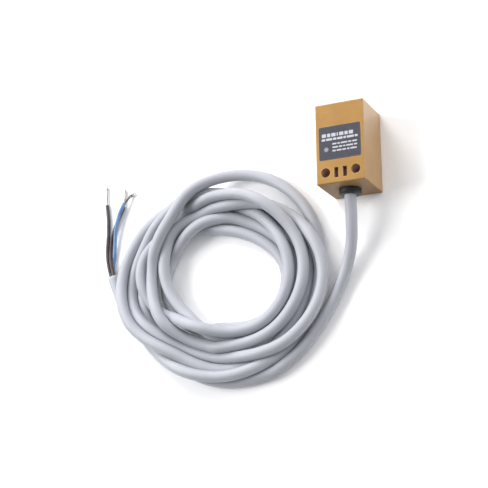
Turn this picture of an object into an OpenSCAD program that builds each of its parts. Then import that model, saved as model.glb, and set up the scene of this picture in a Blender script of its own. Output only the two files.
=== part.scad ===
// Rectangular inductive proximity sensor with a moulded three-core cable.
// It lies on its mounting face: +Z points out of the label, +Y is the sensing
// end, and the cable leaves through the -Y end. Millimetres throughout.

/* [Case] */
// Width of the case
case_w = 17; // [16.6:0.1:21]
// Length of the case, from the cable end to the sensing end
case_l = 28; // [27.4:0.1:36]
// Height of the case, from the mounting face to the label face
case_h = 17; // [16.4:0.1:21]
// Thickness of the side, top and cable-end walls
wall = 1.2; // [1:0.05:1.4]
// Thickness of the wall that the coil senses through
sense_wall = 0.8; // [0.6:0.05:1.2]
// Radius of the outer edges
edge_r = 0.4; // [0.2:0.05:0.7]
// Thickness of the cover that closes the mounting face
cover_t = 1; // [0.6:0.1:1.3]
// Gap between the cover and the case
cover_gap = 0.05; // [0.02:0.01:0.1]

/* [Screw holes] */
// Diameter of the two clearance holes for M3 screws
hole_d = 3.2; // [3:0.1:3.4]
// Distance between the two screw holes
hole_pitch = 10.5; // [10.4:0.1:11]
// Distance from the cable end to the screw holes
hole_inset = 3.9; // [3.7:0.1:4.2]
// Wall round each screw hole
boss_wall = 1.15; // [0.9:0.05:1.15]
// Width of a resin filling slot
slot_w = 1.5; // [1:0.1:1.7]
// Length of a resin filling slot
slot_l = 3.5; // [2.5:0.1:4]
// Distance between the two filling slots
slot_pitch = 3; // [2.8:0.1:3.2]

/* [Label] */
// Width of the name plate
label_w = 14.6; // [13:0.1:14.8]
// Length of the name plate
label_l = 11.6; // [9:0.1:12]
// Thickness of the name plate
label_t = 0.2; // [0.1:0.05:0.3]
// Depth of the recess that the name plate lies in
label_sink = 0.14; // [0.05:0.01:0.25]
// Gap round the name plate in its recess
label_gap = 0.05; // [0.02:0.01:0.1]
// Diameter of the indicator window
window_d = 1.7; // [1.2:0.1:2]
// Distance of the indicator window from the centre line, to the left
window_x = 4.75; // [4:0.05:5]
// Distance of the indicator window from mid-length, towards the cable
window_y = 2.2; // [1.8:0.1:2.6]

/* [Cable] */
// Diameter of the cable
cable_d = 4; // [3.6:0.1:4.2]
// Diameter of the grommet outside the case
grommet_d = 7.5; // [6.5:0.1:8.5]
// Length of the grommet outside the case
grommet_l = 2; // [1.6:0.1:3.5]
// Wall of the grommet's neck, where it passes through the case
neck_wall = 0.42; // [0.3:0.02:0.44]
// Diameter of each insulated core
core_d = 1.3; // [1:0.1:1.4]
// Diameter of the bare end of a core
strand_d = 0.7; // [0.5:0.1:0.9]
// Height of the coiled cable
coil_h = 12; // [8:0.5:14]

/* [Electronics] */
// Thickness of the circuit board
board_t = 0.8; // [0.6:0.1:1]
// Height of the board's underside above the cable's axis
board_rise = 2.8; // [2.7:0.1:3.2]
// Distance from the end of the jacket to the board's rear edge
board_back_gap = 1; // [0.8:0.1:1.1]
// Distance from the board's front edge to the ferrite core
board_front_gap = 1.6; // [1.2:0.1:2]
// Diameter of the ferrite core
ferrite_d = 12.4; // [11.6:0.1:12.6]
// Length of the ferrite core
ferrite_l = 4.4; // [4:0.1:4.8]
// Diameter of the ferrite core's middle post
post_d = 5; // [4.5:0.1:5.4]
// Wall of the ferrite core's outer ring
ferrite_rim = 1; // [0.8:0.1:1.2]
// Thickness of the ferrite core's back
ferrite_back = 1.3; // [1:0.1:1.6]
// Wall of the bobbin
bobbin_wall = 0.35; // [0.3:0.05:0.5]
// Diameter of the two coil wires where they reach the board
wire_d = 0.3; // [0.2:0.05:0.4]

/* [Hidden] */
$fn = 48;

// What a cut passes through is overshot by this much.
over = 1;

// Case and cavity.
end_y = case_l / 2;
cavity_w = case_w - 2 * wall;
cavity_back_y = -end_y + wall;
cavity_front_y = end_y - sense_wall;
cavity_top = case_h - wall;
hole_x = hole_pitch / 2;
hole_y = -end_y + hole_inset;
boss_r = hole_d / 2 + boss_wall;
slot_back = 0.3;
slot_y = hole_y - slot_back;
label_r = 0.5;

// Cable axis and what holds it.
axis_z = case_h / 2;
neck_r = cable_d / 2 + neck_wall;
neck_lip = 0.5;
exit_y = -end_y - grommet_l;
clamp_l = 1.6;
jacket_back = 0.25;
jacket_end_y = hole_y + boss_r - jacket_back;
clamp_r = cable_d / 2 + 0.4;
rim_r = 0.7;

// Sensing end.
sense_gap = 0.2;
ferrite_front_y = cavity_front_y - sense_gap;
ferrite_y = ferrite_front_y - ferrite_l;

// Board and what stands on it.
board_side_gap = 0.4;
board_w = cavity_w - 2 * board_side_gap;
board_back_y = jacket_end_y + board_back_gap;
board_front_y = ferrite_y - board_front_gap;
board_l = board_front_y - board_back_y;
board_mid_y = (board_front_y + board_back_y) / 2;
board_z = axis_z + board_rise;
board_top = board_z + board_t;
led_h = 0.9;
window_gap = 0.25;
collar_d = window_d + 0.9;
// The cores stand in a ring: inside the jacket's wall, and never nearer than side by side.
jacket_wall = 0.35;
core_gap = 0.03;
core_ring = max((cable_d - core_d) / 2 - jacket_wall, (core_d + core_gap) / sqrt(3));
bend_r = 1;
joint_h = 0.6;
// Electronic parts: places as x, and y from the board's middle; bodies as width,
// length and height, lifted a little off the board; legs and end caps likewise.
body_lift = 0.1;
oscillator_at = [2.3, 2.2];
oscillator_body = [3.9, 4.9, 1.5];
oscillator_leg = [1.1, 0.4, 0.25];
oscillator_legs = 4;
leg_pitch = 1.27;
leg_in = 0.2;
transistor_at = [3.6, -3];
transistor_body = [1.3, 2.9, 1.1];
transistor_leg = [0.7, 0.4, 0.2];
transistor_leg_x = 0.85;
transistor_leg_y = 0.95;
diode_at = [-4, 4.6];
diode_body = [2.4, 1.5, 1.1];
diode_cap = [0.6, 0.9, 0.25];
diode_cap_x = 1.25;
capacitor_at = [-4, 1.6];
capacitor_body = [3, 1.6, 1.7];
capacitor_cap = [0.4, 1.2, 0.9];
// Small chips: their length, width and the length of an end cap.
chip_l = 1.6;
chip_w = 0.8;
chip_cap_l = 0.3;
resistor_h = 0.5;
ceramic_h = 0.8;
// Pads under the board, one for each core: the top core turns up first.
pad_near = 1;
pad_far = 3.4;
pads = [
    [core_ring * cos(90), jacket_end_y + pad_near + bend_r],
    [core_ring * cos(210), jacket_end_y + pad_far + bend_r],
    [core_ring * cos(330), jacket_end_y + pad_far + bend_r]];
pad_z = [for (a = [90, 210, 330]) axis_z + core_ring * sin(a)];

// Sensing coil.
groove_y = ferrite_y + ferrite_back;
groove_gap = 0.1;
groove_in = post_d / 2 + groove_gap;
groove_out = ferrite_d / 2 - ferrite_rim - groove_gap;
bobbin_y = groove_y + groove_gap;
bobbin_l = ferrite_l - ferrite_back - 2 * groove_gap;
wire_x = 1;
wire_z = board_top + wire_d / 2;
wire_y = bobbin_y + bobbin_wall;
wire_land = 0.8;
wire_hole_r = wire_d / 2 + 0.2;

// Way of the cable down to the coil: x, y, and the share of the drop from the
// grommet to the floor that is still left.
lie_z = cable_d / 2;
way_down = [
    [0, -19, 0.985], [-0.1, -22, 0.91], [-0.4, -25, 0.8], [-0.8, -28, 0.65],
    [-1.4, -31, 0.48], [-2.3, -34, 0.32], [-3.5, -37, 0.18], [-4.8, -40, 0.09],
    [-6.2, -43, 0.03], [-7.8, -46, 0], [-9.4, -49, 0], [-11.2, -52, 0],
    [-13.2, -55, 0], [-15.5, -58.2, 0]];
// Centre line: straight through the grommet, then on by the points beyond it.
lead_route = concat(
    [[0, -end_y, axis_z], [0, exit_y, axis_z]],
    [for (p = way_down) if (p.y < exit_y - 2)
        [p.x, p.y, lie_z + p.z * (axis_z - lie_z)]]);
// Last stretch of the jacket, beside the coil.
tail_route = [
    [-88.5, -46, lie_z], [-90.5, -42, lie_z], [-92, -38, lie_z], [-93.4, -34.5, lie_z],
    [-94.4, -31.8, lie_z]];
// Cores, from the end of the jacket to the end of their insulation.
black_route = [
    [-94.9, -32.4, 2.2], [-96.6, -28, 1.3], [-97.7, -22.5, 0.9], [-97.6, -15, 0.7],
    [-97.7, -9, 0.7], [-98.4, -3.5, 0.7]];
brown_route = [
    [-93.8, -32, 2.4], [-95, -28, 2], [-95.8, -25, 1.7], [-96.4, -21, 0.8],
    [-95.9, -16.5, 0.7], [-94, -10.8, 0.7], [-91.2, -5, 0.7]];
blue_route = [
    [-94.5, -32.2, 1.2], [-95.4, -28, 0.7], [-95, -25, 0.8], [-94.5, -21, 1.1],
    [-93.9, -14.3, 1.8], [-92.5, -8.6, 2], [-90.3, -4, 1.9]];
// Bare ends, on from the insulation.
black_bare = [[-98.4, -3.5, 0.7], [-98.5, 0, 0.6], [-98.5, 3.4, 0.6]];
brown_bare = [[-91.2, -5, 0.7], [-90.9, -1.8, 0.6], [-90.6, 2.2, 0.6]];
blue_bare = [[-90.3, -4, 1.9], [-88.1, -1.3, 0.9], [-85.6, -0.9, 0.6]];

// Coil of cable: an oval ring lying on its side, leaning by coil_turn.
coil_turn = -18;
coil_outer_mid = [-50.5, -37];
coil_outer = [43, 38];
coil_inner_mid = [-47.6, -37.4];
coil_inner = [21, 15.5];
ease = 2;
coil_steps = 48;

// Colours.
case_colour = [0.86, 0.62, 0.2];
label_colour = [0.27, 0.3, 0.36];
cable_colour = [0.72, 0.74, 0.79];
rubber_colour = [0.08, 0.08, 0.09];
board_colour = [0.1, 0.35, 0.2];
chip_colour = [0.1, 0.1, 0.11];
metal_colour = [0.75, 0.75, 0.76];
copper_colour = [0.72, 0.42, 0.22];
brown_colour = [0.35, 0.18, 0.1];
blue_colour = [0.25, 0.45, 0.72];
black_colour = [0.1, 0.1, 0.11];

// Rectangle with round corners, made of true arcs.
module round_rect(w, l, r) {
    square([w - 2 * r, l], center = true);
    square([w, l - 2 * r], center = true);
    for (x = [-1, 1], y = [-1, 1])
        translate([x * (w / 2 - r), y * (l / 2 - r)]) circle(r = r);
}

// Block with every edge rounded: three rounded prisms in common.
module round_block(w, l, h, r) {
    translate([0, 0, h / 2]) intersection() {
        linear_extrude(h, center = true) round_rect(w, l, r);
        rotate([90, 0, 0]) linear_extrude(l, center = true) round_rect(w, h, r);
        rotate([90, 0, 90]) linear_extrude(w, center = true) round_rect(l, h, r);
    }
}

// Cylinder along +Y from y0 to y1, on the line x, z.
module rod_y(r, y0, y1, x = 0, z = axis_z) {
    translate([x, y0, z]) rotate([-90, 0, 0]) cylinder(r = r, h = y1 - y0);
}

// Block given by its middle in x and y, and by its underside.
module block(x, y, z, w, l, h) {
    translate([x - w / 2, y - l / 2, z]) cube([w, l, h]);
}

// Section of the two screw bosses, which fill the cavity's rear corners.
module boss_section(gap = 0) {
    reach = wall + over;
    for (side = [-1, 1]) scale([side, 1]) {
        translate([hole_x, hole_y]) circle(r = boss_r + gap);
        translate([hole_x - boss_r - gap, cavity_back_y - reach])
            square([cavity_w / 2 + reach - hole_x + boss_r + gap, hole_y - cavity_back_y + reach]);
        translate([hole_x, hole_y - over])
            square([cavity_w / 2 + reach - hole_x, over + boss_r + gap]);
    }
}

// Section of the cavity, drawn in from its walls by gap.
module cavity_section(gap = 0) {
    difference() {
        translate([-cavity_w / 2 + gap, cavity_back_y + gap])
            square([cavity_w - 2 * gap, cavity_front_y - cavity_back_y - 2 * gap]);
        boss_section(gap);
    }
}

// Unit vector, and a sideways vector square to it and level.
function unit(v) = v / norm(v);
function heading(p, i) = unit(p[min(i + 1, len(p) - 1)] - p[max(i - 1, 0)]);
function sideways(t) = unit(cross(t, [0, 0, 1]));
// Ring of points round point i of a route.
function ring(p, i, r, sides) =
    let (t = heading(p, i), a = sideways(t), b = cross(a, t))
    [for (k = [0 : sides - 1])
        p[i] + r * (cos(360 * k / sides) * a + sin(360 * k / sides) * b)];
// Tube swept along every point of a route.
module tube_along(p, r, sides) {
    n = len(p);
    points = [for (i = [0 : n - 1]) each ring(p, i, r, sides)];
    walls = [for (i = [0 : n - 2], k = [0 : sides - 1])
        [i * sides + k, i * sides + (k + 1) % sides,
         (i + 1) * sides + (k + 1) % sides, (i + 1) * sides + k]];
    first = [for (k = [sides - 1 : -1 : 0]) k];
    last = [for (k = [0 : sides - 1]) (n - 1) * sides + k];
    polyhedron(points = points, faces = concat(walls, [first, last]), convexity = 6);
}
// Case: five walls, screw bosses, filling slots and the label's recess.
module case_shell() {
    color(case_colour) difference() {
        round_block(case_w, case_l, case_h, edge_r);
        difference() {
            translate([0, 0, -over]) linear_extrude(cavity_top + over)
                translate([-cavity_w / 2, cavity_back_y])
                    square([cavity_w, cavity_front_y - cavity_back_y]);
            translate([0, 0, -2 * over]) linear_extrude(cavity_top + 3 * over) boss_section();
        }
        for (side = [-1, 1]) {
            translate([side * hole_x, hole_y, -over]) cylinder(d = hole_d, h = case_h + 2 * over);
            block(side * slot_pitch / 2, slot_y, cavity_top - over, slot_w, slot_l, wall + 2 * over);
        }
        translate([0, 0, case_h - label_sink]) linear_extrude(over)
            round_rect(label_w + 2 * label_gap, label_l + 2 * label_gap, label_r + label_gap);
        translate([-window_x, -window_y, cavity_top - over]) cylinder(d = window_d, h = wall + 2 * over);
        rod_y(neck_r, -end_y - over, cavity_back_y + over);
    }
}

// Flat cover over the mounting face, cut round the screw bosses.
module back_cover() {
    color(case_colour * 0.9) linear_extrude(cover_t) cavity_section(cover_gap);
}

// Name plate, with a hole for the indicator window.
module name_label() {
    color(label_colour) translate([0, 0, case_h - label_sink]) difference() {
        linear_extrude(label_t) round_rect(label_w, label_l, label_r);
        translate([-window_x, -window_y, -over]) cylinder(d = window_d, h = label_t + 2 * over);
    }
}

// Light guide: a pin through the case wall and the label, with a collar inside.
module indicator_window() {
    foot = board_top + led_h + window_gap;
    color([0.85, 0.86, 0.88]) translate([-window_x, -window_y, 0]) {
        translate([0, 0, foot]) cylinder(d = window_d, h = case_h - label_sink + label_t - foot);
        translate([0, 0, cavity_top - 0.8]) cylinder(d = collar_d, h = 0.8);
    }
}

// Surface-mount indicator: a body with two pads and a round lens.
module indicator_led() {
    color([0.9, 0.45, 0.3]) translate([-window_x, -window_y, board_top]) {
        block(0, 0, 0, 1.6, 0.8, 0.35);
        cylinder(d = 0.8, h = led_h);
    }
}

// Board, with holes where the three cores are soldered.
module circuit_board() {
    color(board_colour) difference() {
        block(0, board_mid_y, board_z, board_w, board_l, board_t);
        for (p = pads) translate([p.x, p.y, board_z - over]) cylinder(d = 0.5, h = board_t + 2 * over);
    }
}

// Body that stands a little off the board.
module board_body(size) {
    block(0, 0, body_lift, size.x, size.y, size.z - body_lift);
}

// Chip with a row of flat legs on each of two sides.
module oscillator_chip() {
    leg_x = oscillator_body.x / 2 + oscillator_leg.x / 2 - leg_in;
    middle = (oscillator_legs - 1) / 2;
    color(chip_colour) translate([oscillator_at.x, board_mid_y + oscillator_at.y, board_top]) {
        board_body(oscillator_body);
        for (i = [0 : oscillator_legs - 1], side = [-1, 1])
            block(side * leg_x, (i - middle) * leg_pitch, 0, oscillator_leg.x, oscillator_leg.y,
                  oscillator_leg.z);
    }
}

// Transistor with two legs on one side and one on the other.
module output_transistor() {
    leg = transistor_leg;
    color(chip_colour) translate([transistor_at.x, board_mid_y + transistor_at.y, board_top]) {
        board_body(transistor_body);
        for (side = [-1, 1])
            block(-transistor_leg_x, side * transistor_leg_y, 0, leg.x, leg.y, leg.z);
        block(transistor_leg_x, 0, 0, leg.x, leg.y, leg.z);
    }
}

module protection_diode() {
    color(chip_colour) translate([diode_at.x, board_mid_y + diode_at.y, board_top]) {
        board_body(diode_body);
        for (side = [-1, 1])
            block(side * diode_cap_x, 0, 0, diode_cap.x, diode_cap.y, diode_cap.z);
    }
}

module filter_capacitor() {
    color([0.8, 0.6, 0.25])
        translate([capacitor_at.x, board_mid_y + capacitor_at.y, board_top]) {
            board_body(capacitor_body);
            for (side = [-1, 1])
                block(side * capacitor_body.x / 2, 0, 0, capacitor_cap.x, capacitor_cap.y,
                      capacitor_cap.z);
        }
}

// Chips of one size, each a body between two end caps.
module chip_part(x, y, h) {
    translate([x, board_mid_y + y, board_top]) {
        block(0, 0, 0.05, chip_l, chip_w - 0.1, h - 0.1);
        for (side = [-1, 1])
            block(side * (chip_l - chip_cap_l) / 2, 0, 0, chip_cap_l, chip_w, h);
    }
}

// Five resistors in two columns.
module chip_resistors() {
    color([0.12, 0.12, 0.13])
        for (i = [0 : 4]) chip_part(-0.6 - 1.95 * (i % 2), -2.2 - 1.25 * floor(i / 2), resistor_h);
}

// Four ceramic capacitors: two in the rear corner and two along the rear edge.
module chip_capacitors() {
    color([0.7, 0.55, 0.4]) {
        for (i = [0 : 1]) chip_part(-4.9, -3.9 - 1.4 * i, ceramic_h);
        for (i = [0 : 1]) chip_part(1.2 + 2.2 * i, -5.9, ceramic_h);
    }
}

// Half pot core: back, middle post and outer ring, open towards the sensing wall.
module ferrite_core() {
    color([0.22, 0.22, 0.24]) difference() {
        rod_y(ferrite_d / 2, ferrite_y, ferrite_front_y);
        difference() {
            rod_y(ferrite_d / 2 - ferrite_rim, groove_y, ferrite_front_y + over);
            rod_y(post_d / 2, groove_y - over, ferrite_front_y + 2 * over);
        }
        for (side = [-1, 1]) rod_y(wire_hole_r, ferrite_y - over, groove_y + over, side * wire_x, wire_z);
    }
}

module coil_bobbin() {
    color([0.9, 0.88, 0.8]) difference() {
        union() {
            rod_y(groove_in + bobbin_wall, bobbin_y, bobbin_y + bobbin_l);
            rod_y(groove_out, bobbin_y, bobbin_y + bobbin_wall);
            rod_y(groove_out, bobbin_y + bobbin_l - bobbin_wall, bobbin_y + bobbin_l);
        }
        rod_y(groove_in, bobbin_y - over, bobbin_y + bobbin_l + over);
        for (side = [-1, 1]) rod_y(wire_hole_r, bobbin_y - over, wire_y, side * wire_x, wire_z);
    }
}

module coil_winding() {
    color(copper_colour) difference() {
        rod_y(groove_out - 0.2, wire_y, bobbin_y + bobbin_l - bobbin_wall);
        rod_y(groove_in + bobbin_wall, wire_y - over, bobbin_y + bobbin_l);
    }
}

// Two wires from the winding, through the ferrite core's back, onto the board.
module coil_wires() {
    color(copper_colour) for (side = [-1, 1])
        rod_y(wire_d / 2, board_front_y - wire_land, wire_y, side * wire_x, wire_z);
}

// Resin that fills the case round everything inside it.
module potting_resin() {
    color([0.42, 0.2, 0.12]) difference() {
        translate([0, 0, cover_t]) linear_extrude(cavity_top - cover_t) cavity_section();
        rod_y(ferrite_d / 2, ferrite_y, ferrite_front_y);
        rod_y(neck_r, cavity_back_y - over, cavity_back_y + neck_lip);
        rod_y(clamp_r, cavity_back_y + neck_lip, cavity_back_y + neck_lip + clamp_l);
        rod_y(cable_d / 2, cavity_back_y, jacket_end_y);
        for (i = [0 : 2]) {
            inner_core(i);
            solder_joint(i);
        }
        block(0, board_mid_y, board_z, board_w, board_l, board_t);
        for (side = [-1, 1]) {
            rod_y(wire_d / 2, board_front_y, ferrite_y + over, side * wire_x, wire_z);
            block(side * wire_x, board_front_y - wire_land / 2, board_top, wire_d, wire_land, wire_d);
        }
        indicator_window();
        indicator_led();
        oscillator_chip();
        output_transistor();
        protection_diode();
        filter_capacitor();
        chip_resistors();
        chip_capacitors();
    }
}

// Moulded grommet: a collar with a round rim, and a neck through the case wall.
module cable_grommet() {
    color(rubber_colour) translate([0, -end_y, axis_z]) rotate([90, 0, 0]) rotate_extrude() {
        translate([cable_d / 2, 0]) square([grommet_d / 2 - cable_d / 2, grommet_l - rim_r]);
        translate([cable_d / 2, 0]) square([grommet_d / 2 - cable_d / 2 - rim_r, grommet_l]);
        translate([grommet_d / 2 - rim_r, grommet_l - rim_r]) circle(r = rim_r);
        translate([cable_d / 2, -wall - neck_lip]) square([neck_wall, wall + neck_lip + 0.1]);
    }
}

// Ferrule crimped on the jacket inside the case, so that the cable can't pull out.
module cable_clamp() {
    y0 = cavity_back_y + neck_lip;
    color(metal_colour) difference() {
        rod_y(clamp_r, y0, y0 + clamp_l);
        rod_y(cable_d / 2, y0 - over, y0 + clamp_l + over);
    }
}

// Jacket inside the case wall and the case.
module inner_jacket() {
    color(cable_colour) rod_y(cable_d / 2, -end_y, jacket_end_y);
}

// Core i inside the case: straight on from the jacket, then up to its pad.
module inner_core(i) {
    straight_y = pads[i].y - bend_r;
    rod_y(core_d / 2, jacket_end_y, straight_y, pads[i].x, pad_z[i]);
    translate([pads[i].x, straight_y, pad_z[i] + bend_r]) rotate([0, 90, 0])
        rotate_extrude(angle = 90) translate([bend_r, 0]) circle(d = core_d);
    rise = board_z - joint_h - pad_z[i] - bend_r;
    translate([pads[i].x, pads[i].y, pad_z[i] + bend_r]) cylinder(d = core_d, h = rise);
}

module inner_core_black() {
    color(black_colour) inner_core(0);
}

module inner_core_brown() {
    color(brown_colour) inner_core(1);
}

module inner_core_blue() {
    color(blue_colour) inner_core(2);
}

// Solder between a core and its pad under the board.
module solder_joint(i) {
    translate([pads[i].x, pads[i].y, board_z - joint_h]) cylinder(d = core_d + 0.3, h = joint_h);
}

module solder_joints() {
    color(metal_colour) for (i = [0 : 2]) solder_joint(i);
}

// Cable from the grommet down to the floor and along to the coil.
module cable_lead() {
    color(cable_colour) tube_along(lead_route, cable_d / 2, 12);
}

// Outer shape of the coiled cable: between two ovals, with its edges eased.
function oval(mid, radii, a) =
    let (c = cos(coil_turn), s = sin(coil_turn), u = radii.x * cos(a), v = radii.y * sin(a))
    [mid.x + u * c - v * s, mid.y + u * s + v * c];
function coil_section(a) =
    let (p = oval(coil_inner_mid, coil_inner, a), q = oval(coil_outer_mid, coil_outer, a),
         d = ease * (q - p) / norm(q - p))
    [[p.x, p.y, ease], [p.x + d.x, p.y + d.y, 0], [q.x - d.x, q.y - d.y, 0], [q.x, q.y, ease],
     [q.x, q.y, coil_h / 2], [q.x - 3 * d.x, q.y - 3 * d.y, coil_h],
     [p.x + 3 * d.x, p.y + 3 * d.y, coil_h], [p.x, p.y, coil_h / 2]];
module cable_coil() {
    corners = len(coil_section(0));
    points = [for (i = [0 : coil_steps - 1]) each coil_section(360 * i / coil_steps)];
    walls = [for (i = [0 : coil_steps - 1], k = [0 : corners - 1])
        let (j = (i + 1) % coil_steps, m = (k + 1) % corners)
        [i * corners + k, i * corners + m, j * corners + m, j * corners + k]];
    color(cable_colour) polyhedron(points = points, faces = walls, convexity = 6);
}

module cable_tail() {
    color(cable_colour) tube_along(tail_route, cable_d / 2, 12);
}

module core_black() {
    color(black_colour) tube_along(black_route, core_d / 2, 8);
}

module core_brown() {
    color(brown_colour) tube_along(brown_route, core_d / 2, 8);
}

module core_blue() {
    color(blue_colour) tube_along(blue_route, core_d / 2, 8);
}

module strand_black() {
    color(metal_colour) tube_along(black_bare, strand_d / 2, 8);
}

module strand_brown() {
    color(metal_colour) tube_along(brown_bare, strand_d / 2, 8);
}

module strand_blue() {
    color(metal_colour) tube_along(blue_bare, strand_d / 2, 8);
}

case_shell();
back_cover();
name_label();
indicator_window();
indicator_led();
circuit_board();
oscillator_chip();
output_transistor();
protection_diode();
filter_capacitor();
chip_resistors();
chip_capacitors();
ferrite_core();
coil_bobbin();
coil_winding();
coil_wires();
potting_resin();
cable_grommet();
cable_clamp();
inner_jacket();
inner_core_brown();
inner_core_blue();
inner_core_black();
solder_joints();
cable_lead();
cable_coil();
cable_tail();
core_brown();
core_blue();
core_black();
strand_brown();
strand_blue();
strand_black();
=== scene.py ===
import bpy
import numpy as np
from mathutils import Matrix, Vector


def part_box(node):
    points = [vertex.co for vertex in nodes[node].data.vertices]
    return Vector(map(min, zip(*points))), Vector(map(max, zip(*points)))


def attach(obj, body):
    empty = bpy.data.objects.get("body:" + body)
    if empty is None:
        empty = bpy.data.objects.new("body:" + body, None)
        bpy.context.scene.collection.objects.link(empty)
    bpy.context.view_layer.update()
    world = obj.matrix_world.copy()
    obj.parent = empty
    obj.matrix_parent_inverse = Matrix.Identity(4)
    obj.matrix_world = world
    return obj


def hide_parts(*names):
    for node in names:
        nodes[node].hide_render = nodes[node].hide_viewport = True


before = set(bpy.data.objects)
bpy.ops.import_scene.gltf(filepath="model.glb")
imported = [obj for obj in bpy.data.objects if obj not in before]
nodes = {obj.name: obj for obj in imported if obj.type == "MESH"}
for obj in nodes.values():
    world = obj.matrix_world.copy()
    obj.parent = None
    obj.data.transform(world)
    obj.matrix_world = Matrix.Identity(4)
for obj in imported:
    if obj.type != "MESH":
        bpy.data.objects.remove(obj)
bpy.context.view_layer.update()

mm = 0.001
caseLow, caseHigh = [np.array(corner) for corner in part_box("case_shell")]
gripLow, gripHigh = [np.array(corner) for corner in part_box("cable_grommet")]


# the camera stands high over the lower right corner, places in millimetres
cameraSet = {
    "place": (142.26, -147.96, 394.09),
    "across": (0.9039, -0.0087, -0.4277),
    "up": (0.1236, 0.9625, 0.2417),
    "lens": 95.9,
    "sensor": 36,
}

eye = bpy.data.cameras.new("camera")
eye.lens = cameraSet["lens"]
eye.sensor_width = cameraSet["sensor"]
eye.clip_start = 0.01
eye.clip_end = 20
across = np.array(cameraSet["across"]) / np.linalg.norm(cameraSet["across"])
back = np.cross(across, cameraSet["up"])
back /= np.linalg.norm(back)
up = np.cross(back, across)
turn = Matrix([list(row) for row in np.array([across, up, back]).T]).to_4x4()
eyeObject = bpy.data.objects.new("camera", eye)
eyeObject.matrix_world = Matrix.Translation([v * mm for v in cameraSet["place"]]) @ turn
bpy.context.scene.collection.objects.link(eyeObject)
bpy.context.scene.camera = eyeObject
print("camera in place")


def unitRows(v):
    # each row divided by its length
    return v / np.maximum(np.linalg.norm(v, axis=-1, keepdims=True), 1e-12)


def splineThrough(points, perSpan):
    # Catmull-Rom: each span is a cubic that leaves its first point along the
    # chord between that point's neighbours, and arrives the same way
    padded = np.vstack([2 * points[0] - points[1], points, 2 * points[-1] - points[-2]])
    u = np.linspace(0, 1, perSpan, endpoint=False)[None, :, None]
    a, b, c, d = [padded[k:len(padded) - 3 + k, None, :] for k in range(4)]
    spans = 0.5 * (2 * b + (c - a) * u + (2 * a - 5 * b + 4 * c - d) * u ** 2
                   + (3 * b - a - 3 * c + d) * u ** 3)
    return np.vstack([spans.reshape(-1, points.shape[1]), points[-1:]])


def alongLine(points):
    # distance from the start to each point, along the line
    return np.r_[0, np.cumsum(np.linalg.norm(np.diff(points, axis=0), axis=1))]


def evenSteps(points, step):
    # the same line, with points a fixed distance apart
    far = alongLine(points)
    at = np.linspace(0, far[-1], int(round(far[-1] / step)) + 1)
    return np.stack([np.interp(at, far, points[:, k]) for k in range(points.shape[1])], axis=1)


def meshPiece(name, points, faces, slotName, paint, uv=None, flat=False):
    # one object at the origin, its place in its mesh
    mesh = bpy.data.meshes.new(name)
    mesh.from_pydata(points.tolist(), [], faces)
    if uv is not None:
        layer = mesh.uv_layers.new(name="along")
        layer.data.foreach_set("uv", np.asarray(uv, np.float32).ravel())
    mesh.polygons.foreach_set("use_smooth", np.full(len(mesh.polygons), not flat))
    mesh.materials.append(paint)
    mesh.update()
    piece = bpy.data.objects.new(name, mesh)
    bpy.context.scene.collection.objects.link(piece)
    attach(piece, "root")
    return piece


def tubeArrays(path, radius, sides):
    # circle of the given radius carried along the path: a ring point is
    # path + radius (cos q * side + sin q * rise), side level and square to the
    # path; each end is closed by a slightly smaller ring and one fan
    heading = unitRows(np.gradient(path, axis=0))
    side = unitRows(np.cross(heading, [0, 0, 1.0]))
    rise = np.cross(side, heading)
    radius = np.broadcast_to(radius, len(path)).copy()
    q = np.linspace(0, 2 * np.pi, sides, endpoint=False)[None, :, None]
    outwards = np.cos(q) * side[:, None] + np.sin(q) * rise[:, None]
    rings = path[:, None] + radius[:, None, None] * outwards
    rim, rimOut, tipOut = 0.88, 0.06, 0.07
    start = path[0] + rim * (rings[0] - path[0]) - heading[0] * radius[0] * rimOut
    end = path[-1] + rim * (rings[-1] - path[-1]) + heading[-1] * radius[-1] * rimOut
    count = len(path) + 2
    points = np.vstack([start, rings.reshape(-1, 3), end,
                        path[:1] - heading[:1] * radius[0] * tipOut,
                        path[-1:] + heading[-1:] * radius[-1] * tipOut])
    i, k = np.meshgrid(np.arange(count - 1), np.arange(sides), indexing="ij")
    n = (k + 1) % sides
    quads = np.stack([i * sides + k, i * sides + n, (i + 1) * sides + n, (i + 1) * sides + k], axis=-1)
    far = alongLine(path)
    far = np.r_[far[0], far, far[-1]]
    turnOf = np.stack([k, k + 1, k + 1, k], axis=-1) / sides
    farOf = np.stack([far[i], far[i], far[i + 1], far[i + 1]], axis=-1)
    uv = np.stack([farOf, turnOf], axis=-1).reshape(-1, 2)
    s = np.arange(sides)
    m = (s + 1) % sides
    first = np.stack([m, s, np.full(sides, count * sides)], axis=-1)
    base = (count - 1) * sides
    last = np.stack([base + s, base + m, np.full(sides, count * sides + 1)], axis=-1)
    faces = quads.reshape(-1, 4).tolist() + first.tolist() + last.tolist()
    uv = np.vstack([uv, np.zeros((6 * sides, 2))])
    return points, faces, uv


def joinArrays(parts):
    # several closed shells in one mesh
    points, faces, uvs, base = [], [], [], 0
    for partPoints, partFaces, partUv in parts:
        points.append(partPoints)
        faces += [[v + base for v in face] for face in partFaces]
        uvs.append(partUv)
        base += len(partPoints)
    return np.vstack(points), faces, np.vstack(uvs)


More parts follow.
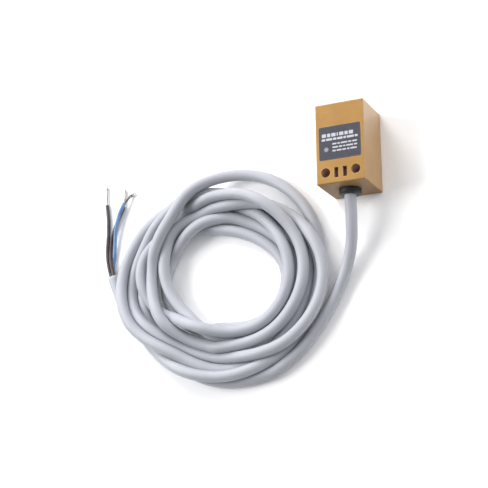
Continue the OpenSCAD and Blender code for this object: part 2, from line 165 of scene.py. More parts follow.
class Field:
    # a socket that takes part in sums
    def __init__(self, recipe, socket):
        self.recipe = recipe
        self.socket = socket

    def sum(self, operation, first, second=0.0):
        return self.recipe.make("ShaderNodeMath", {"operation": operation}, {0: first, 1: second})

    def __add__(self, other):
        return self.sum("ADD", self, other)

    def __radd__(self, other):
        return self.sum("ADD", other, self)

    def __sub__(self, other):
        return self.sum("SUBTRACT", self, other)

    def __rsub__(self, other):
        return self.sum("SUBTRACT", other, self)

    def __mul__(self, other):
        return self.sum("MULTIPLY", self, other)

    def __rmul__(self, other):
        return self.sum("MULTIPLY", other, self)

    def __pow__(self, other):
        return self.sum("POWER", self, other)

    def absolute(self):
        return self.sum("ABSOLUTE", self)

    def between(self, low, high):
        # 0 below low, 1 above high, smooth in between
        return self.recipe.make("ShaderNodeMapRange", {"interpolation_type": "SMOOTHSTEP"},
                                {"Value": self, "From Min": low, "From Max": high})

    def most(self, other):
        return self.sum("MAXIMUM", self, other)


class Recipe:
    # one material, its shader and the nodes that feed it
    def __init__(self, name, constants):
        self.material = bpy.data.materials.new(name)
        self.material.use_nodes = True
        self.tree = self.material.node_tree
        self.tree.nodes.clear()
        output = self.tree.nodes.new("ShaderNodeOutputMaterial")
        self.shader = self.tree.nodes.new("ShaderNodeBsdfPrincipled")
        self.tree.links.new(self.shader.outputs[0], output.inputs["Surface"])
        for socket, value in constants.items():
            self.shader.inputs[socket].default_value = value
        self.place = self.make("ShaderNodeTexCoord", {}, {}, "Object")

    def make(self, kind, settings, sockets, out=0):
        node = self.tree.nodes.new(kind)
        for key, value in settings.items():
            setattr(node, key, value)
        for key, value in sockets.items():
            if isinstance(value, Field):
                self.tree.links.new(value.socket, node.inputs[key])
            else:
                node.inputs[key].default_value = value
        return Field(self, node.outputs[out])

    def noise(self, scale, detail=3.0, rough=0.5, at=None, warp=0.0):
        return self.make("ShaderNodeTexNoise", {},
                         {"Vector": at or self.place, "Scale": scale, "Detail": detail,
                          "Roughness": rough, "Distortion": warp})

    def cells(self, scale):
        return self.make("ShaderNodeTexVoronoi", {}, {"Vector": self.place, "Scale": scale})

    def axes(self, at=None):
        split = self.tree.nodes.new("ShaderNodeSeparateXYZ")
        self.tree.links.new((at or self.place).socket, split.inputs[0])
        return [Field(self, split.outputs[k]) for k in range(3)]

    def stretched(self, scale, at=None):
        return self.make("ShaderNodeMapping", {}, {"Vector": at or self.place, "Scale": scale})

    def blend(self, share, first, second):
        # from the first colour to the second
        def colour(value):
            return value if isinstance(value, Field) else (*value, 1)
        return self.make("ShaderNodeMix", {"data_type": "RGBA"},
                         {0: share, 6: colour(first), 7: colour(second)}, 2)

    def bump(self, height, depth, strength=1.0, onto=None):
        sockets = {"Strength": strength, "Distance": depth, "Height": height}
        if onto is not None:
            sockets["Normal"] = onto
        return self.make("ShaderNodeBump", {}, sockets)

    def feed(self, **links):
        names = {"colour": "Base Color", "rough": "Roughness", "normal": "Normal",
                 "metal": "Metallic", "coat": "Coat Weight"}
        for key, field in links.items():
            self.tree.links.new(field.socket, self.shader.inputs[names[key]])
        return self.material


cordLook = {"base": (0.435, 0.45, 0.50), "shade": (0.40, 0.415, 0.465), "mark": (0.33, 0.34, 0.385),
            "rough": 0.50}


def cordPaint():
    # soft PVC: lengthwise draw lines, a fine orange-peel, faint scuffs and smudges
    r = Recipe("jacket pvc", {"Specular IOR Level": 0.45, "Sheen Weight": 0.08, "Sheen Roughness": 0.5,
                              "Coat Roughness": 0.35})
    uv = r.make("ShaderNodeUVMap", {"uv_map": "along"}, {})
    along, around, _ = r.axes(uv)
    lines = r.noise(1.0, 3, 0.6, at=r.stretched((28, 34, 1), uv))
    peel = r.noise(2300, 2, 0.5)
    cloud = r.noise(48, 4, 0.55)
    scuff = r.noise(1.0, 4, 0.7, at=r.stretched((900, 9, 1), uv)).between(0.63, 0.74)
    smudge = r.noise(120, 5, 0.65, warp=0.6).between(0.56, 0.76)
    colour = r.blend(cloud.between(0.3, 0.7), cordLook["base"], cordLook["shade"])
    colour = r.blend(smudge * 0.22, colour, cordLook["mark"])
    colour = r.blend(scuff * smudge * 0.5, colour, (0.62, 0.64, 0.70))
    rough = cordLook["rough"] + (cloud - 0.5) * 0.14 + scuff * 0.12 + smudge * 0.10
    normal = r.bump(lines + peel * 0.35, 0.00004, 0.35)
    normal = r.bump(cloud, 0.0004, 0.25, normal)
    return r.feed(colour=colour, rough=rough, normal=normal)


def insulationPaint(name, base, dark, rough):
    # thin glossy PVC: fine pull lines and slight changes of tone
    r = Recipe(name, {"Specular IOR Level": 0.5, "Coat Weight": 0.15, "Coat Roughness": 0.25})
    uv = r.make("ShaderNodeUVMap", {"uv_map": "along"}, {})
    lines = r.noise(1.0, 3, 0.6, at=r.stretched((120, 18, 1), uv))
    tone = r.noise(300, 3, 0.6)
    nick = r.noise(1300, 3, 0.6).between(0.66, 0.76)
    colour = r.blend(tone.between(0.35, 0.7), base, dark)
    colour = r.blend(nick * 0.35, colour, tuple(0.5 * v + 0.2 for v in base))
    return r.feed(colour=colour, rough=rough + tone * 0.14 + nick * 0.1,
                  normal=r.bump(lines + tone, 0.00003, 0.4))


def tinnedPaint(name, bright, dullAndEndShade):
    # tinned copper: bright solder with dull patches
    r = Recipe(name, {"Specular IOR Level": 0.5})
    patch = r.noise(900, 4, 0.6).between(0.4, 0.65)
    grain = r.noise(6000, 2, 0.5)
    colour = r.blend(patch, bright, dullAndEndShade)
    return r.feed(colour=colour, rough=0.24 + patch * 0.2 + grain * 0.08, metal=0.92 - patch * 0.15,
                  normal=r.bump(grain, 0.00002, 0.4))


# all in millimetres: height of the cord's middle where it lies on the floor, the
# case's cable end, the grommet's end, and the height at which the cord leaves
lieHeight = 2.0
gripFace = caseLow[1] / mm
gripEnd = gripLow[1] / mm
axisHeight = (gripLow[2] + gripHigh[2]) / 2 / mm
# way down from the grommet: x, y, and the share of the drop left
wayDown = np.array([
    (0, -19, 0.985), (-0.1, -22, 0.91), (-0.4, -25, 0.8), (-0.8, -28, 0.65),
    (-1.4, -31, 0.48), (-2.3, -34, 0.32), (-3.5, -37, 0.18), (-4.8, -40, 0.09),
    (-6.2, -43, 0.03), (-7.8, -46, 0), (-9.4, -49, 0), (-11.2, -52, 0),
    (-13.2, -55, 0), (-15.5, -58.2, 0)])
# way in to the coil, and from the coil to the three cores
wayIn = np.array([(-18, -61.5, 2), (-21, -64.5, 2), (-24.5, -67.2, 2), (-29.5, -69.9, 2),
                  (-37, -72.4, 2)])
tailRoute = np.array([(-88.5, -46, 2), (-90.5, -42, 2), (-92, -38, 2), (-93.4, -34.5, 2),
                      (-94.4, -31.8, 2)])

# eight stations a turn, clockwise seen from above, from the side of -Y: distance
# from the middle, and how many layers up the cord lies
cordSet = {
    "diameter": 4.0,
    "middle": (-48, -38),
    "stations": 8,
    "startAngle": 270,
    "turns": [
        ((35.7, 33, 34, 26, 18.2, 17.8, 22.2, 20.8), (0, 0, 0, 0, 0, 0, 0, 0)),
        ((17.5, 21.5, 25, 23, 22.5, 22, 26.2, 24.8), (0, 0, 0, 1, 0, 0, 0, 0)),
        ((21.8, 18.6, 22.8, 27.9, 25.7, 30.5, 36.5, 33.8), (0, 0.6, 1, 1, 1, 0, 1, 1)),
        ((27.4, 29.6, 38.6, 34.6, 30.7, 28, 30.1, 29.6), (1.2, 1, 0, 1, 0, 0, 0, 0)),
        ((31.8, 32.6, 41, 37.8, 27, 24.2, 24.6, 22.6), (0.9, 1.2, 1.1, 0, 0, 1, 1, 1)),
        ((19.5, 20.5, 32.5, 33, 29.6, 29.2, 29.9, 27.1), (1, 0.7, 0, 0, 1, 1, 1.1, 1)),
        ((23.6, 25.1, 28.1, 29.2, 37.2, 37.2, 34.1, 33.7), (1, 1.2, 1.2, 2, 1.4, 0.5, 0, 0)),
        ((34.4, 34.4), (1, 0.3)),
    ],
    "layerHeight": 0.9,   # of a diameter
    "step": 1.5,          # between points while the cord settles
    "easeRounds": 12,     # of plain smoothing before it settles
    "rounds": 400,
    "settledRounds": 60,  # at the end, without sinking
    "polishRounds": 90,   # at the end, with an extra smoothing
    "sink": 0.06,         # millimetres a round
    "pull": 0.03,         # share of the way back to the first lay, a round
    "near": 1.6,          # diameters within which two points may push each other
    "along": 2.5,         # diameters along the cord within which they never do
    "push": (0.55, 0.55, 1.5),
    "overshoot": 1.3,     # of a push, so that the turns part sooner
    "sides": 24,
}


def firstLay():
    # spline over distance, layer and angle; height is the layer times most of a diameter
    size = cordSet["diameter"]
    reach = np.concatenate([np.array(t[0], float) for t in cordSet["turns"]])
    layer = np.concatenate([np.array(t[1], float) for t in cordSet["turns"]])
    angle = np.radians(cordSet["startAngle"] - 360 / cordSet["stations"] * np.arange(len(reach)))
    line = splineThrough(np.stack([reach, layer, angle], axis=1), 12)
    outwards = np.stack([np.cos(line[:, 2]), np.sin(line[:, 2])], axis=1)
    flat = np.array(cordSet["middle"]) + line[:, :1] * outwards
    height = lieHeight + cordSet["layerHeight"] * size * np.maximum(line[:, 1], 0)
    lead = np.column_stack([wayDown[:, :2], lieHeight + wayDown[:, 2] * (axisHeight - lieHeight)])
    lead = np.vstack([(0, gripFace, axisHeight), (0, gripEnd, axisHeight), lead])
    leadLength = alongLine(lead)[-1]
    whole = np.vstack([splineThrough(np.vstack([lead, wayIn]), 6), np.column_stack([flat, height]),
                       splineThrough(tailRoute, 4)])
    return evenSteps(whole, cordSet["step"]), leadLength


def smoothOnce(values):
    # weighted mean of five neighbours, the ends left alone
    out = values.copy()
    out[2:-2] = ((values[:-4] + values[4:]) * 0.1 + (values[1:-3] + values[3:-1]) * 0.25
                 + values[2:-2] * 0.3)
    return out


def settle():
    # the first lay sinks, and turns that would share space push each other apart,
    # mostly upwards, while neighbours along the cord keep its curve smooth
    size = cordSet["diameter"]
    line, leadLength = firstLay()
    far = alongLine(line)
    held = (far < leadLength) | (far > far[-1] - alongLine(tailRoute)[-1])
    free = ~held[:, None]
    for _ in range(cordSet["easeRounds"]):
        eased = line.copy()
        eased[1:-1] = 0.5 * line[1:-1] + 0.25 * (line[:-2] + line[2:])
        line = np.where(free, eased, line)
    aim = line.copy()
    count = len(line)
    index = np.arange(count)
    apart = int(cordSet["along"] * size / cordSet["step"])
    rounds = cordSet["rounds"]
    for roundNow in range(rounds):
        if roundNow % 8 == 0:
            gaps = ((line[:, None] - line[None]) ** 2).sum(2)
            close = gaps < (cordSet["near"] * size) ** 2
            first, second = np.nonzero(close & (index[None] - index[:, None] > apart))
        line[:, :2] += cordSet["pull"] * (aim - line)[:, :2] * free
        if roundNow < rounds - cordSet["settledRounds"]:
            line[~held, 2] -= cordSet["sink"]
        drift = smoothOnce(line - aim)
        eased = np.column_stack([(aim + drift)[:, :2], smoothOnce(line[:, 2])])
        line = np.where(free, 0.5 * line + 0.5 * eased, line)
        for _ in range(2):
            between = line[second] - line[first]
            distance = np.linalg.norm(between, axis=1)
            close = distance < size
            i, j = first[close], second[close]
            push = unitRows(between[close] * cordSet["push"]) * (size - distance[close])[:, None]
            total = np.zeros_like(line)
            hits = np.zeros(count)
            np.add.at(total, i, -push * np.where(held[i], 0, 0.5)[:, None])
            np.add.at(total, j, push * np.where(held[j], 0, 0.5)[:, None])
            np.add.at(hits, i, 1)
            np.add.at(hits, j, 1)
            line += cordSet["overshoot"] * total / np.maximum(hits, 1)[:, None]
            line[:, 2] = np.maximum(line[:, 2], size / 2)
        if roundNow > rounds - cordSet["polishRounds"] and roundNow % 6 == 0:
            for factor in (0.5, -0.53) * 3:  # out and back, so that the turns don't shrink
                eased = line.copy()
                eased[1:-1] += factor * (0.5 * (line[:-2] + line[2:]) - line[1:-1])
                line = np.where(free, eased, line)
    return line


def makeCord():
    line = evenSteps(splineThrough(settle(), 3), 1.0)
    points, faces, uv = tubeArrays(line * mm, cordSet["diameter"] / 2 * mm, cordSet["sides"])
    cord = meshPiece("cable_jacket", points, faces, "cable_jacket", cordPaint(), uv)
    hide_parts("cable_lead", "cable_coil", "cable_tail")
    return cord, line


cord, cordLine = makeCord()
print("cord laid,", round(float(alongLine(cordLine)[-1])), "mm")


# cores at the far end of the cord, from the end of its jacket
coreSet = {
    "diameter": 1.3,
    "step": 0.6,
    "sides": 20,
    "black": [(-94.9, -32.4, 2.2), (-96.6, -28, 1.3), (-97.7, -22.5, 0.9), (-97.6, -15, 0.7),
              (-97.7, -9, 0.7), (-98.4, -3.5, 0.7)],
    "brown": [(-93.8, -32, 2.4), (-95, -28, 2), (-95.8, -25, 1.7), (-96.4, -21, 0.8),
              (-95.9, -16.5, 0.7), (-94, -10.8, 0.7), (-91.2, -5, 0.7)],
    "blue": [(-94.5, -32.2, 1.2), (-95.4, -28, 0.7), (-95, -25, 0.8), (-94.5, -21, 1.1),
             (-93.9, -14.3, 1.8), (-92.5, -8.6, 2), (-90.3, -4, 1.9)],
}
corePaints = {
    "black": insulationPaint("black core pvc", (0.018, 0.018, 0.024), (0.05, 0.05, 0.065), 0.32),
    "brown": insulationPaint("brown core pvc", (0.034, 0.018, 0.022), (0.060, 0.030, 0.034), 0.36),
    "blue": insulationPaint("blue core pvc", (0.095, 0.20, 0.40), (0.14, 0.27, 0.50), 0.34),
}

bareSet = {
    "bundle": 0.64,  # across all the strands
    "wire": 0.21,    # across one of them
    "around": 6,     # strands round the middle one
    "step": 0.18,
    "black": [(-98.3, -4.4, 0.7), (-98.45, -1.6, 0.62), (-98.5, 1, 0.6), (-98.5, 3.4, 0.6)],
    "brown": [(-91.5, -5.7, 0.6), (-91, -3.2, 0.6), (-90.8, -0.6, 0.6), (-90.6, 2.2, 0.6)],
    "blue": [(-90.7, -4.7, 1.9), (-89.3, -2.6, 1.3), (-88.1, -1.3, 0.9), (-85.6, -0.9, 0.6)],
    "splay": {"black": 0.0, "brown": 0.25, "blue": 0.55},
    "lie": 0.45,     # share of its height that a splayed end keeps
    "turns": {"black": 3.0, "brown": 1.6, "blue": 1.2},
    "tones": {  # bright and dull
        "black": ((0.40, 0.39, 0.41), (0.20, 0.19, 0.21)),
        "brown": ((0.52, 0.51, 0.50), (0.34, 0.32, 0.31)),
        "blue": ((0.26, 0.25, 0.24), (0.11, 0.105, 0.10)),
    },
    # solder on a tinned end: its radius, how uneven it is, how much thicker its bead
    # is, and where along the end the bead stands
    "skin": 0.27,
    "uneven": 0.02,
    "bead": 0.18,
    "beadAt": 0.93,
    "beadWide": 0.06,
}


def bareWires(colour):
    # strands wound round a middle one: strand k stands k / around + turns * share
    # of a full turn round, at a distance that grows where the end is splayed
    line = evenSteps(splineThrough(np.array(bareSet[colour]), 8), bareSet["step"])
    share = np.linspace(0, 1, len(line))[:, None]
    heading = unitRows(np.gradient(line, axis=0))
    side = unitRows(np.cross(heading, [0, 0, 1.0]))
    rise = np.cross(side, heading)
    spread = bareSet["splay"][colour]
    wires = []
    around = bareSet["around"]
    for k in range(around + 1):
        ring = 0 if k == around else 1
        angle = 2 * np.pi * (k / around + bareSet["turns"][colour] * share)
        out = ring * (0.5 * bareSet["bundle"] - 0.5 * bareSet["wire"] + spread * share ** 2)
        flat = bareSet["lie"] + (1 - bareSet["lie"]) * (1 - share ** 2) if spread else 1.0
        path = line + out * (np.cos(angle) * side + np.sin(angle) * rise * flat)
        path[:, 2] = np.maximum(path[:, 2], 0.5 * bareSet["wire"])
        trim = len(path) - (k * 2 if spread else 0)
        wires.append(tubeArrays(path[:trim] * mm, 0.5 * bareSet["wire"] * mm, 8))
    return wires, line


def solderTip(line):
    # solder that has wetted the twisted strands: a skin with a rounded bead at the end
    share = np.linspace(0, 1, len(line))
    skin = bareSet["skin"] + bareSet["uneven"] * np.sin(17 * share)
    bead = bareSet["bead"] * np.exp(-((share - bareSet["beadAt"]) / bareSet["beadWide"]) ** 2)
    close = np.sqrt(np.clip((1.0 - share) / 0.05, 0.02, 1))
    return tubeArrays(line * mm, (skin + bead) * close * mm, 14)


corePieces = []
for colour in ("black", "brown", "blue"):
    line = evenSteps(splineThrough(np.array(coreSet[colour]), 10), coreSet["step"])
    points, faces, uv = tubeArrays(line * mm, 0.5 * coreSet["diameter"] * mm, coreSet["sides"])
    core = meshPiece("insulation_" + colour, points, faces, "core_" + colour, corePaints[colour], uv)
    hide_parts("core_" + colour)
    wires, bareLine = bareWires(colour)
    if colour == "black":
        wires.append(solderTip(bareLine[6:]))
    bare = meshPiece("bare_wires_" + colour, *joinArrays(wires)[:2], "tinned_strands",
                     tinnedPaint("tinned wires " + colour, *bareSet["tones"][colour]))
    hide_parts("strand_" + colour)
    corePieces += [core, bare]

print("cores and bare wires made")


# the case and what shows on it
# of these colours, the one for the cable end face is painted shade
caseLook = {"base": (0.350, 0.174, 0.022), "light": (0.385, 0.198, 0.030), "deep": (0.28, 0.126, 0.017),
            "bore": (0.56, 0.40, 0.33), "dullAndEndShade": (0.20, 0.12, 0.06), "rough": 0.36, "coat": 0.7}
# millimetres: places, and the two distances between which a wall's colour gives way
openings = {
    "holes": [(-5.25, -10.1), (5.25, -10.1)],
    "holeRim": (1.62, 1.70),
    "slots": [(-1.5, -10.4), (1.5, -10.4)],
    "slotRimX": (0.77, 0.82),
    "slotRimY": (1.77, 1.82),
    "depths": (1.4, 0.15),  # below the top: full colour, and the least
}


def rimOf(distance, rim):
    # 1 inside an opening, 0 outside it
    return 1 - distance.between(rim[0] * mm, rim[1] * mm)


def casePaint():
    # satin moulding: fine spark texture, flow clouds, painted highlights along the edges, a few hair
    # scratches, dark openings where no light gets in, and painted shade on the cable end
    r = Recipe("case plastic", {"Specular IOR Level": 0.5, "Coat Roughness": 0.2})
    x, y, z = r.axes()
    cloud = r.noise(110, 4, 0.55)
    grain = r.noise(5200, 2, 0.5)
    fleck = r.noise(1500, 3, 0.7).between(0.62, 0.75)
    scratch = r.noise(1.0, 2, 0.5, at=r.stretched((160, 3800, 900))).between(0.70, 0.76)
    colour = r.blend(cloud.between(0.35, 0.68), caseLook["base"], caseLook["light"])
    colour = r.blend(fleck * 0.25, colour, caseLook["deep"])
    colour = r.blend(scratch * 0.12, colour, (0.80, 0.56, 0.26))
    inside = None
    for px, py in openings["holes"]:
        away = ((x - px * mm) * (x - px * mm) + (y - py * mm) * (y - py * mm)) ** 0.5
        ring = rimOf(away, openings["holeRim"])
        inside = ring if inside is None else inside.most(ring)
    for px, py in openings["slots"]:
        wide = rimOf((x - px * mm).absolute(), openings["slotRimX"])
        long = rimOf((y - py * mm).absolute(), openings["slotRimY"])
        inside = inside.most(wide * long)
    lowest, highest = [caseHigh[2] - depth * mm for depth in openings["depths"]]
    deep = inside * (1 - z.between(lowest, highest) * 0.75)
    colour = r.blend(deep, colour, caseLook["bore"])
    edge = r.make("ShaderNodeBevel", {"samples": 4}, {"Radius": 0.0005})
    facing = r.make("ShaderNodeVectorMath", {"operation": "DOT_PRODUCT"},
                    {0: edge, 1: r.make("ShaderNodeNewGeometry", {}, {}, "Normal")}, "Value")
    # painted highlight along the edges, patchy with the flow clouds; the same mask makes the edges a little
    # smoother
    edgeHighlight = (1 - facing).between(0.015, 0.12) * cloud.between(0.3, 0.6)
    colour = r.blend(edgeHighlight * 0.3, colour, (0.93, 0.64, 0.22))
    # painted shade on the cable end: its colour is darkened, and it is also rougher with less coat
    dullAndEndShade = 1 - y.between(caseLow[1] + 0.02 * mm, caseLow[1] + 0.3 * mm)
    colour = r.blend(dullAndEndShade * 0.5, colour, caseLook["dullAndEndShade"])
    rough = caseLook["rough"] + (cloud - 0.5) * 0.12 + scratch * 0.1 - edgeHighlight * 0.06 + dullAndEndShade * 0.2
    normal = r.bump(grain, 0.000016, 0.5)
    normal = r.bump(cloud + scratch * -0.4, 0.00006, 0.3, normal)
    return r.feed(colour=colour, rough=rough, normal=normal, coat=caseLook["coat"] * (1 - dullAndEndShade * 0.75))


labelLook = {"film": (0.030, 0.029, 0.047), "worn": (0.050, 0.049, 0.070), "ink": (0.50, 0.50, 0.54),
             "rim": 0.4}  # rim in millimetres
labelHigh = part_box("name_label")[1]
windowMid = np.mean(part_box("indicator_window"), axis=0)


def labelPaint():
    # dark film: faint screen-print mottle, brushed handling marks and a slightly paler rim
    r = Recipe("label film", {"Specular IOR Level": 0.5})
    x, y, _ = r.axes()
    mottle = r.noise(900, 4, 0.6)
    wipe = r.noise(1.0, 3, 0.6, at=r.stretched((90, 1500, 400)))
    rimX, rimY = [axis.absolute().between(float(far) - labelLook["rim"] * mm, float(far))
                  for axis, far in ((x, labelHigh[0]), (y, labelHigh[1]))]
    colour = r.blend(mottle.between(0.4, 0.7) * 0.6, labelLook["film"], labelLook["worn"])
    colour = r.blend(rimX.most(rimY) * 0.35, colour, (0.12, 0.13, 0.17))
    return r.feed(colour=colour, rough=0.33 + wipe * 0.18 + mottle * 0.06,
                  normal=r.bump(mottle, 0.000012, 0.4))


def inkPaint():
    # white ink with thin spots
    r = Recipe("label ink", {"Specular IOR Level": 0.4})
    thin = r.noise(3500, 3, 0.7).between(0.58, 0.72)
    return r.feed(colour=r.blend(thin * 0.45, labelLook["ink"], (0.42, 0.44, 0.50)),
                  rough=0.5 + thin * 0.1, normal=r.bump(thin, 0.00001, 0.3))


def windowPaint():
    # frosted light guide: pale, with a darker moulded ring and a fine haze
    r = Recipe("window plastic", {"Specular IOR Level": 0.55, "Coat Weight": 0.4, "Coat Roughness": 0.12})
    x, y, _ = r.axes()
    offX, offY = x - float(windowMid[0]), y - float(windowMid[1])
    away = (offX * offX + offY * offY) ** 0.5
    ring = away.between(0.5 * mm, 0.8 * mm)
    haze = r.noise(1800, 3, 0.6)
    colour = r.blend(ring, (0.30, 0.29, 0.31), (0.12, 0.12, 0.14))
    colour = r.blend(haze.between(0.45, 0.7) * 0.3, colour, (0.40, 0.39, 0.40))
    return r.feed(colour=colour, rough=0.22 + haze * 0.16, normal=r.bump(haze, 0.00002, 0.3))


def rubberPaint():
    # moulded rubber: matt skin, pale bloom in patches, fine pits
    r = Recipe("grommet rubber", {"Specular IOR Level": 0.42, "Sheen Weight": 0.06})
    bloom = r.noise(420, 4, 0.6).between(0.45, 0.75)
    pit = r.cells(2600)
    grain = r.noise(4200, 2, 0.5)
    colour = r.blend(bloom * 0.5, (0.014, 0.015, 0.02), (0.045, 0.047, 0.056))
    return r.feed(colour=colour, rough=0.42 + bloom * 0.16 + grain * 0.06,
                  normal=r.bump(grain + pit * 0.5, 0.00003, 0.5))


def resinPaint():
    # cast resin: glossy where it set, with bubbles and a slight dish of tone
    r = Recipe("potting resin", {"Specular IOR Level": 0.5})
    tone = r.noise(500, 4, 0.6)
    bubble = 1 - r.cells(900).between(0.0, 0.16)
    colour = r.blend(tone.between(0.35, 0.7), (0.10, 0.024, 0.010), (0.17, 0.05, 0.02))
    return r.feed(colour=r.blend(bubble * 0.6, colour, (0.03, 0.01, 0.006)),
                  rough=0.30 + tone * 0.2, normal=r.bump(tone - bubble, 0.00005, 0.5))


def boardPaint():
    # solder mask over copper: raised tracks and the glass weave under them
    r = Recipe("board laminate", {"Specular IOR Level": 0.5, "Coat Weight": 0.2, "Coat Roughness": 0.2})
    weave = r.noise(1.0, 2, 0.5, at=r.stretched((2500, 2500, 300)))
    track = r.make("ShaderNodeTexWave", {"bands_direction": "X"},
                   {"Vector": r.place, "Scale": 190.0, "Distortion": 1.6, "Detail": 1.0}).between(0.82, 0.9)
    colour = r.blend(track, (0.022, 0.115, 0.045), (0.05, 0.21, 0.085))
    colour = r.blend(weave.between(0.5, 0.8) * 0.25, colour, (0.10, 0.22, 0.10))
    return r.feed(colour=colour, rough=0.30 + weave * 0.12,
                  normal=r.bump(track + weave * 0.2, 0.00003, 0.4))


def mouldingPaint(name, base, pale, rough, metalEnds=None):
    # filled epoxy: matt grain and pale dust, with bright metal below the height metalEnds
    r = Recipe(name, {"Specular IOR Level": 0.45})
    grain = r.noise(5200, 3, 0.6)
    dust = r.noise(1300, 4, 0.65).between(0.5, 0.75)
    colour = r.blend(dust * 0.5, base, pale)
    roughness = rough + grain * 0.15
    if metalEnds is not None:
        _, _, z = r.axes()
        metal = 1 - z.between(metalEnds, metalEnds + 0.02 * mm)
        colour = r.blend(metal, colour, (0.62, 0.62, 0.63))
        return r.feed(colour=colour, rough=roughness, metal=metal, normal=r.bump(grain, 0.00002, 0.5))
    return r.feed(colour=colour, rough=roughness, normal=r.bump(grain, 0.00002, 0.5))


def ferritePaint():
    # pressed and ground ferrite: dark grains with bright broken faces
    r = Recipe("ferrite", {"Specular IOR Level": 0.6})
    grain = r.cells(4200)
    tone = r.noise(600, 4, 0.6)
    return r.feed(colour=r.blend(tone.between(0.35, 0.7), (0.035, 0.035, 0.040), (0.075, 0.073, 0.078)),
                  rough=0.42 + grain * 0.3, normal=r.bump(grain, 0.00004, 0.5))


def copperPaint():
    # enamelled wire wound side by side along the coil's axis
    r = Recipe("enamelled copper", {"Metallic": 0.9, "Coat Weight": 0.5, "Coat Roughness": 0.15})
    wound = r.make("ShaderNodeTexWave", {"bands_direction": "Y"},
                   {"Vector": r.place, "Scale": 1500.0, "Distortion": 0.6, "Detail": 1.0})
    tone = r.noise(700, 3, 0.5)
    return r.feed(colour=r.blend(tone, (0.62, 0.25, 0.10), (0.80, 0.40, 0.17)),
                  rough=0.25 + tone * 0.15, normal=r.bump(wound, 0.00003, 0.8))


def nylonPaint():
    # natural nylon: faint flow marks and gate blush
    r = Recipe("bobbin nylon", {"Specular IOR Level": 0.45, "Subsurface Weight": 0.1,
                                "Subsurface Radius": (0.001, 0.001, 0.0008)})
    flow = r.noise(300, 4, 0.6, warp=1.0)
    return r.feed(colour=r.blend(flow, (0.72, 0.68, 0.55), (0.82, 0.79, 0.68)), rough=0.38 + flow * 0.14,
                  normal=r.bump(flow, 0.00004, 0.3))


def ferrulePaint():
    # plated steel: lines round the ferrule and dull spots
    r = Recipe("plated ferrule", {"Metallic": 1.0})
    lathe = r.make("ShaderNodeTexWave", {"bands_direction": "Y"},
                   {"Vector": r.place, "Scale": 2600.0, "Distortion": 0.3})
    spot = r.noise(900, 4, 0.6).between(0.5, 0.75)
    return r.feed(colour=r.blend(spot, (0.70, 0.70, 0.71), (0.48, 0.47, 0.46)), rough=0.26 + spot * 0.25,
                  normal=r.bump(lathe, 0.00002, 0.5))


def ledPaint():
    # tinted lens resin with a fine haze
    r = Recipe("indicator resin", {"Specular IOR Level": 0.55, "Coat Weight": 0.5})
    haze = r.noise(2200, 3, 0.6)
    return r.feed(colour=r.blend(haze, (0.62, 0.10, 0.05), (0.80, 0.24, 0.12)), rough=0.2 + haze * 0.15,
                  normal=r.bump(haze, 0.00002, 0.3))


def innerCorePaint(name, base, dark):
    # the same insulation inside the case, read from the object's own place
    r = Recipe(name, {"Specular IOR Level": 0.5})
    tone = r.noise(700, 3, 0.6)
    return r.feed(colour=r.blend(tone.between(0.35, 0.7), base, dark), rough=0.32 + tone * 0.12,
                  normal=r.bump(tone, 0.00002, 0.4))


def innerJacketPaint():
    # jacket inside the case: the same grey, with resin haze
    r = Recipe("inner jacket pvc", {"Specular IOR Level": 0.45})
    tone = r.noise(260, 4, 0.6)
    return r.feed(colour=r.blend(tone.between(0.35, 0.7), cordLook["base"], cordLook["shade"]),
                  rough=0.4 + tone * 0.12, normal=r.bump(tone, 0.00004, 0.3))


boardTop = float(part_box("circuit_board")[1][2])
finishes = {
    "case_shell": casePaint(),
    "name_label": labelPaint(),
    "indicator_window": windowPaint(),
    "cable_grommet": rubberPaint(),
    "potting_resin": resinPaint(),
    "circuit_board": boardPaint(),
    "ferrite_core": ferritePaint(),
    "coil_bobbin": nylonPaint(),
    "cable_clamp": ferrulePaint(),
    "indicator_led": ledPaint(),
    "inner_jacket": innerJacketPaint(),
    "solder_joints": tinnedPaint("joint solder", (0.72, 0.72, 0.73), (0.45, 0.45, 0.46)),
    "filter_capacitor": mouldingPaint("capacitor epoxy", (0.60, 0.33, 0.05), (0.70, 0.45, 0.14), 0.4,
                                      boardTop + 0.09 * mm),
    "chip_capacitors": mouldingPaint("fired ceramic", (0.40, 0.24, 0.13), (0.52, 0.36, 0.22), 0.35,
                                     boardTop + 0.04 * mm),
    "inner_core_black": innerCorePaint("inner black pvc", (0.018, 0.018, 0.024), (0.05, 0.05, 0.06)),
    "inner_core_brown": innerCorePaint("inner brown pvc", (0.13, 0.05, 0.04), (0.20, 0.08, 0.06)),
    "inner_core_blue": innerCorePaint("inner blue pvc", (0.10, 0.26, 0.62), (0.16, 0.36, 0.74)),
}
finishes["back_cover"] = finishes["case_shell"]
copper = copperPaint()
for name in ("coil_winding", "coil_wires"):
    finishes[name] = copper
blackEpoxy = mouldingPaint("black epoxy", (0.018, 0.018, 0.020), (0.06, 0.06, 0.065), 0.45,
                           boardTop + 0.09 * mm)
for name in ("oscillator_chip", "output_transistor", "protection_diode", "chip_resistors"):
    finishes[name] = blackEpoxy
for name, paint in finishes.items():
    mesh = nodes[name].data
    mesh.materials.clear()
    mesh.materials.append(paint)
print("finishes on the moulded parts")


# print on the label: plain rounded blocks, a hundredth of a millimetre proud
printSet = {
    "proud": 0.012,
    "sunk": 0.02,
    "corner": 0.16,
    # height, bottom, first x, then the width of each block and the gap between them
    "rows": [
        (1.2, 2.1, -6.2, (1.5, 1.1, 1.5, 0.5, 1.5, 1.1, 1.5), 0.38),
        (0.75, 0.85, -6.3, (1.3, 2.2, 1.2, 1.9, 0.9, 2.5, 1.0), 0.27),
        (0.52, -0.75, -2.6, (1.5, 0.9, 2.3, 1.1, 1.7), 0.3),
        (0.52, -1.95, -2.6, (2.0, 1.2, 0.8, 2.4, 1.1), 0.3),
        (0.52, -3.15, -2.6, (1.2, 1.7, 1.3, 0.9, 2.2), 0.3),
    ],
}


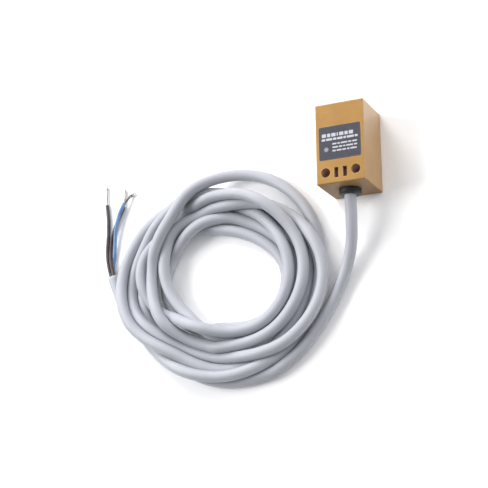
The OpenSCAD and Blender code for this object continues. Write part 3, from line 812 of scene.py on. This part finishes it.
def blockArrays(x0, y0, wide, tall, low, high, corner):
    # prism over a rectangle whose corners are quarter circles
    steps = 5
    centres = np.array([(x0 + wide - corner, y0 + tall - corner), (x0 + corner, y0 + tall - corner),
                        (x0 + corner, y0 + corner), (x0 + wide - corner, y0 + corner)])
    q = (np.arange(4)[:, None] * 90 + np.linspace(0, 90, steps)[None]) * np.pi / 180
    ring = (centres[:, None] + corner * np.stack([np.cos(q), np.sin(q)], axis=-1)).reshape(-1, 2)
    count = len(ring)
    points = np.vstack([np.column_stack([ring, np.full(count, low)]),
                        np.column_stack([ring, np.full(count, high)])])
    k = np.arange(count)
    n = (k + 1) % count
    walls = np.stack([k, n, n + count, k + count], axis=-1).tolist()
    return points, walls + [list(range(count, 2 * count)), list(range(count - 1, -1, -1))]


def makePrint():
    top = float(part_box("name_label")[1][2]) / mm
    points, faces, base = [], [], 0
    for tall, bottom, x, widths, gap in printSet["rows"]:
        for wide in widths:
            blockPoints, blockFaces = blockArrays(x, bottom, wide, tall, top - printSet["sunk"],
                                                  top + printSet["proud"], printSet["corner"])
            points.append(blockPoints)
            faces += [[v + base for v in face] for face in blockFaces]
            base += len(blockPoints)
            x += wide + gap
    return meshPiece("label_print", np.vstack(points) * mm, faces, "label_film", inkPaint(), flat=True)


makePrint()
print("label printed")


# pale floor, two softboxes, a strip and a tent of sky
studio = {
    "floor": (0.93, 0.935, 0.95),
    "floorHalf": 3.0,
    "floorDrop": 0.00005,
    "sky": (1.0, 1.0, 1.0),
    "skyLow": 0.18,
    "skyHigh": 0.92,
    "skySpan": (-0.8, 0.6),
    "floorGlow": 0.06,
    # name, place, size, power, colour
    "lamps": [
        ("left softbox", (-0.66, 0.06, 0.58), 0.46, 5.2, (1.0, 0.995, 0.98)),
        ("back softbox", (-0.4, 0.76, 0.52), 0.5, 6.0, (1.0, 0.995, 0.98)),
        ("right strip", (0.75, 0.3, 0.42), 0.45, 2.2, (1.0, 0.99, 0.98)),
    ],
    "aim": (-0.045, -0.03, 0.005),
}


def floorPaint():
    r = Recipe("studio floor", {"Specular IOR Level": 0.1, "Emission Color": (1, 1, 1, 1),
                                "Emission Strength": studio["floorGlow"]})
    cloud = r.noise(3, 2, 0.5)
    return r.feed(colour=r.blend(cloud, studio["floor"], (0.94, 0.94, 0.955)), rough=0.85 + cloud * 0.05)


half = studio["floorHalf"]
floorMesh = bpy.data.meshes.new("floor")
floorMesh.from_pydata([(-half, -half, 0), (half, -half, 0), (half, half, 0), (-half, half, 0)], [],
                      [(0, 1, 2, 3)])
floorMesh.materials.append(floorPaint())
floorMesh.transform(Matrix.Translation((0, 0, -studio["floorDrop"])))
floor = bpy.data.objects.new("floor", floorMesh)
bpy.context.scene.collection.objects.link(floor)

world = bpy.data.worlds.new("studio")
world.use_nodes = True
sky = world.node_tree.nodes["Background"]
sky.inputs["Color"].default_value = (*studio["sky"], 1)
# the tent is dimmer on the cable's side
lookAlong = world.node_tree.nodes.new("ShaderNodeTexCoord")
lookAxes = world.node_tree.nodes.new("ShaderNodeSeparateXYZ")
dimmer = world.node_tree.nodes.new("ShaderNodeMapRange")
for socket, value in {"From Min": studio["skySpan"][0], "From Max": studio["skySpan"][1],
                      "To Min": studio["skyLow"], "To Max": studio["skyHigh"]}.items():
    dimmer.inputs[socket].default_value = value
world.node_tree.links.new(lookAlong.outputs["Generated"], lookAxes.inputs[0])
world.node_tree.links.new(lookAxes.outputs["Y"], dimmer.inputs["Value"])
world.node_tree.links.new(dimmer.outputs[0], sky.inputs["Strength"])
bpy.context.scene.world = world
bpy.context.scene.view_settings.view_transform = "Standard"

for name, place, size, power, colour in studio["lamps"]:
    lamp = bpy.data.lights.new(name, "AREA")
    lamp.shape = "DISK"
    lamp.size = size
    lamp.energy = power
    lamp.color = colour
    lampObject = bpy.data.objects.new(name, lamp)
    direction = np.array(studio["aim"]) - np.array(place)
    lampObject.location = place
    lampObject.rotation_mode = "QUATERNION"
    lampObject.rotation_quaternion = Vector(direction).to_track_quat("-Z", "Y")
    bpy.context.scene.collection.objects.link(lampObject)
print("floor and lights set")
